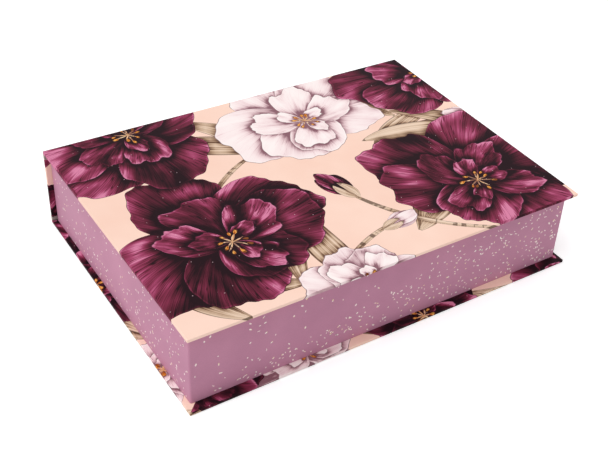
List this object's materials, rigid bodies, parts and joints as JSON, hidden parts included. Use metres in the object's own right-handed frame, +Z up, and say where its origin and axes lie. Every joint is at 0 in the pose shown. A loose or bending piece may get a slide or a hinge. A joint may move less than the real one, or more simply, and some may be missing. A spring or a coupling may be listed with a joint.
{
  "type": "magnetic gift box",
  "caption": "Flat book-style rigid box: a floral paper case with a hinged lid over a speckled lilac tray, held shut by magnets.",
  "frame": {"origin": "on the table, under the middle of the closed box", "axes": "+X along the spine, +Y towards the spine, +Z up; the lid opens at the +Y side"},
  "size_m": [0.33, 0.243, 0.067],
  "materials": {
    "printed_paper": "matt art paper with a floral print",
    "speckled_paper": "lilac paper with pale foil specks",
    "lining_paper": "plain lilac paper",
    "greyboard": "raw grey board",
    "stay_tape": "brown gummed paper tape",
    "magnet_plating": "nickel plating"
  },
  "bodies": {
    "box": {"base_cover_paper": "printed_paper", "base_crease_paper": "printed_paper", "spine_cover_paper": "printed_paper", "lid_hinge_paper": "printed_paper", "base_board": "greyboard", "spine_board": "greyboard", "tray_floor_board": "greyboard", "tray_left_wall_board": "greyboard", "tray_right_wall_board": "greyboard", "tray_front_wall_board": "greyboard", "tray_back_wall_board": "greyboard", "tray_front_inner_board": "greyboard", "tray_front_rail": "greyboard", "spine_lining_paper": "lining_paper", "tray_floor_lining": "lining_paper", "tray_wrap_paper": "speckled_paper", "tray_corner_tapes": "stay_tape", "tray_magnets": "magnet_plating"},
    "lid": {"lid_board": "greyboard", "lid_magnets": "magnet_plating", "lid_cover_paper": "printed_paper", "lid_lining_paper": "lining_paper"}
  },
  "joints": [
    {"name": "lid_hinge", "type": "hinge", "parent": "box", "child": "lid", "pos_m": [0, 0.122, 0.06435], "axis": [-1, 0, 0], "range_deg": [0, 194.5], "deforming": ["lid_hinge_paper"]}
  ]
}
